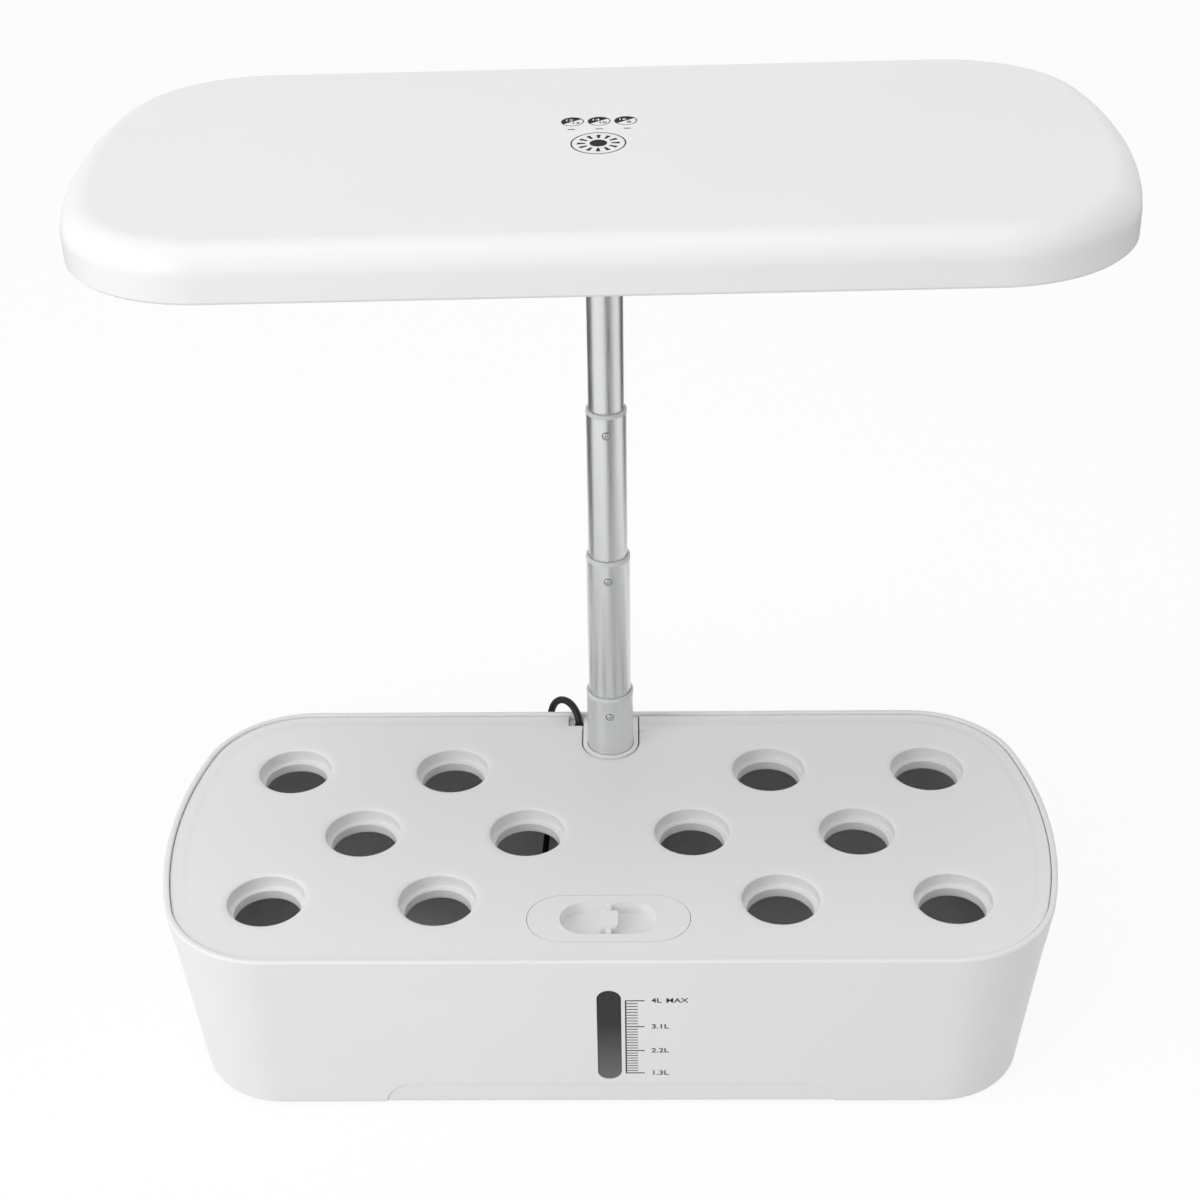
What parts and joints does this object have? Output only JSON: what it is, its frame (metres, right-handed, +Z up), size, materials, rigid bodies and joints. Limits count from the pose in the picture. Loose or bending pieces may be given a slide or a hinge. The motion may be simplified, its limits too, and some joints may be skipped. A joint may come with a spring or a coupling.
{
  "type": "countertop hydroponic garden",
  "caption": "White water tank with a lift-off deck of pod holes, a water pump inside, and a flat grow lamp on a telescoping metal mast behind the deck.",
  "frame": {"origin": "on the surface it stands on, under the middle of the tank", "axes": "+X to the right along the tank, +Y to the back where the mast stands, +Z up"},
  "size_m": [0.413, 0.28, 0.4197],
  "materials": {
    "white_plastic": "moulded ABS with a fine satin texture",
    "window_plastic": "clear smoked acrylic, polished",
    "black_rubber": "matt black rubber",
    "mast_aluminium": "drawn tube, satin anodised",
    "ring_plastic": "moulded acetal, natural white",
    "spring_steel": "bright spring steel",
    "screw_steel": "zinc-plated steel",
    "lead_black": "soft black PVC jacket",
    "clear_acrylic": "clear acrylic sheet, polished",
    "board_white": "aluminium-backed board with white solder mask",
    "led_phosphor": "white LED packages with yellow phosphor",
    "board_green": "glass-fibre circuit board with green solder mask",
    "lens_plastic": "frosted light pipe",
    "pump_plastic": "black moulded ABS",
    "sponge": "open-cell filter foam",
    "stator": "wound copper coil potted in epoxy",
    "shaft_ceramic": "ground ceramic rod",
    "impeller_plastic": "moulded acetal",
    "magnet": "sintered ferrite",
    "cup_rubber": "soft silicone",
    "adapter_plastic": "black polycarbonate with a fine spark texture",
    "blade_metal": "nickel-plated brass"
  },
  "bodies": {
    "base": {"tank": "white_plastic", "water_window": "window_plastic", "window_gasket": "black_rubber", "rubber_feet": "black_rubber", "mast_socket": "white_plastic", "socket_screws": "screw_steel", "mast_tube_1": "mast_aluminium", "guide_ring_1": "ring_plastic", "curly_lead_1": "lead_black", "pump_housing": "pump_plastic", "pump_cover": "pump_plastic", "pump_sponge": "sponge", "pump_stator": "stator", "pump_shaft": "shaft_ceramic", "pump_outlet": "pump_plastic", "suction_cups": "cup_rubber", "pump_lead": "lead_black", "supply_lead": "lead_black", "lead_splice": "lead_black", "duct_lead": "lead_black", "cable_grommet": "black_rubber", "power_cord": "lead_black", "cord_coil": "lead_black", "coil_tie": "black_rubber", "plug_lead": "lead_black", "strain_relief": "black_rubber", "adapter_body": "adapter_plastic", "adapter_blades": "blade_metal"},
    "lid": {"lid": "white_plastic"},
    "filler_cap": {"filler_cap": "white_plastic"},
    "impeller": {"impeller": "impeller_plastic", "rotor_magnet": "magnet"},
    "tube_2": {"mast_tube_2": "mast_aluminium", "guide_ring_2": "ring_plastic", "curly_lead_2": "lead_black", "snap_spring_1": "spring_steel"},
    "button_1": {"snap_button_1": "spring_steel"},
    "tube_3": {"mast_tube_3": "mast_aluminium", "guide_ring_3": "ring_plastic", "curly_lead_3": "lead_black", "snap_spring_2": "spring_steel"},
    "button_2": {"snap_button_2": "spring_steel"},
    "lamp": {"mast_tube_4": "mast_aluminium", "curly_lead_4": "lead_black", "snap_spring_3": "spring_steel", "lamp_housing": "white_plastic", "lamp_cover": "white_plastic", "lamp_window": "clear_acrylic", "led_board": "board_white", "led_chips": "led_phosphor", "driver_board": "board_green", "touch_board": "board_green", "indicator_lenses": "lens_plastic", "lamp_hub": "white_plastic", "hub_screws": "screw_steel", "lamp_screws": "screw_steel", "lamp_top_lead": "lead_black"},
    "button_3": {"snap_button_3": "spring_steel"}
  },
  "joints": [
    {"name": "mast_stage_2", "type": "slide", "parent": "base", "child": "tube_2", "axis": [0, 0, 1], "range_m": [-0.07, 0], "deforming": ["snap_button_1", "snap_spring_1", "curly_lead_1", "curly_lead_2"]},
    {"name": "mast_stage_3", "type": "slide", "parent": "tube_2", "child": "tube_3", "axis": [0, 0, 1], "range_m": [-0.07, 0], "deforming": ["snap_button_2", "snap_spring_2", "curly_lead_3"]},
    {"name": "mast_stage_4", "type": "slide", "parent": "tube_3", "child": "lamp", "axis": [0, 0, 1], "range_m": [-0.085, 0], "deforming": ["snap_button_3", "snap_spring_3", "curly_lead_4"]},
    {"name": "button_1_press", "type": "slide", "parent": "tube_2", "child": "button_1", "axis": [0, 1, 0], "range_m": [0, 0.0017], "stiffness_N_per_m": 400},
    {"name": "button_2_press", "type": "slide", "parent": "tube_3", "child": "button_2", "axis": [0, 1, 0], "range_m": [0, 0.0017], "stiffness_N_per_m": 400},
    {"name": "button_3_press", "type": "slide", "parent": "lamp", "child": "button_3", "axis": [0, 1, 0], "range_m": [0, 0.0017], "stiffness_N_per_m": 400},
    {"name": "lid_lift", "type": "slide", "parent": "base", "child": "lid", "axis": [0, 0, 1], "range_m": [0, 0.045]},
    {"name": "cap_lift", "type": "slide", "parent": "lid", "child": "filler_cap", "axis": [0, 0, 1], "range_m": [0, 0.025]},
    {"name": "impeller_spin", "type": "hinge", "parent": "base", "child": "impeller", "pos_m": [0.02, -0.006, 0.0255], "axis": [1, 0, 0], "continuous": true}
  ]
}
